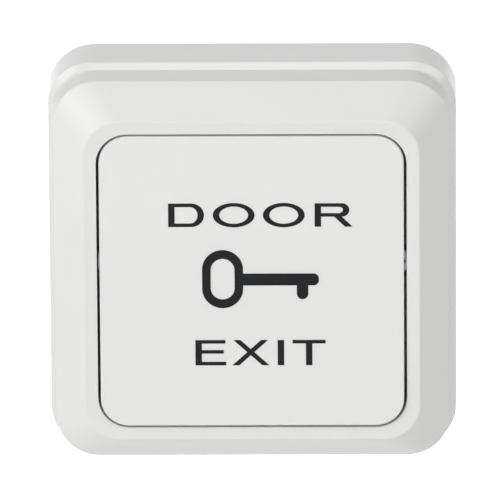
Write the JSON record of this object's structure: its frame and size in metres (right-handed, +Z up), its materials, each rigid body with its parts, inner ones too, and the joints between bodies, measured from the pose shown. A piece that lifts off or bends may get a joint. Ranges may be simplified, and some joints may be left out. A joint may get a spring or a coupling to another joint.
{
  "type": "door exit button",
  "caption": "Square wall push button for door release: shallow box, bevelled frame and a large hinged button over a changeover switch.",
  "frame": {"origin": "centre of the back face, which lies on the wall", "axes": "+Z up along the wall, front faces -Y, +Y into the wall, +X to the right seen from the front"},
  "size_m": [0.0864, 0.03, 0.0864],
  "materials": {
    "white_box": "moulded white plastic, fine satin",
    "white_frame": "moulded white plastic, soft gloss",
    "white_button": "moulded white plastic, soft gloss",
    "print": "dark charcoal pad print",
    "inner_plastic": "plain white plastic, as moulded",
    "switch_plastic": "black plastic, as moulded",
    "brass": "turned or stamped brass",
    "blade_bronze": "phosphor bronze strip",
    "contact_silver": "dull silver rivet",
    "zinc_steel": "zinc plated steel",
    "spring_steel": "bright spring wire",
    "pad_rubber": "black rubber"
  },
  "bodies": {
    "base": {"back_box": "white_box", "front_frame": "white_frame", "mounting_plate": "inner_plastic", "switch_housing": "switch_plastic", "switch_cover": "switch_plastic", "boss_inserts": "brass", "plate_screws": "zinc_steel", "module_screws": "zinc_steel", "terminal_screws": "zinc_steel", "stop_pads": "pad_rubber", "return_spring_left": "spring_steel", "return_spring_right": "spring_steel", "contact_spring": "spring_steel", "blade_pin": "zinc_steel", "nc_contact": "contact_silver", "no_contact": "contact_silver", "com_terminal": "brass", "nc_terminal": "brass", "no_terminal": "brass"},
    "button": {"button_cap": "white_button", "print_upper_word": "print", "print_key": "print", "print_lower_word": "print"},
    "plunger": {"plunger": "inner_plastic"},
    "blade": {"contact_blade": "blade_bronze", "moving_contact": "contact_silver"}
  },
  "joints": [
    {"name": "button_press", "type": "hinge", "parent": "base", "child": "button", "pos_m": [0, -0.0244, 0.027], "axis": [1, 0, 0], "range_deg": [0, 2.2], "stiffness_Nm_per_rad": 1.2, "springref_deg": -5.16, "deforming": ["return_spring_left", "return_spring_right"]},
    {"name": "plunger_travel", "type": "slide", "parent": "base", "child": "plunger", "axis": [0, 1, 0], "range_m": [0, 0.00143]},
    {"name": "contact_swing", "type": "hinge", "parent": "base", "child": "blade", "pos_m": [-0.016, -0.00908, -0.01], "axis": [0, 0, 1], "range_deg": [0, 5.09], "deforming": ["contact_spring"]}
  ],
  "couplings": [
    {"joint": "plunger_travel", "follows": "button_press", "m_per_rad": 0.037},
    {"joint": "contact_swing", "follows": "button_press", "ratio": 2.3125}
  ]
}
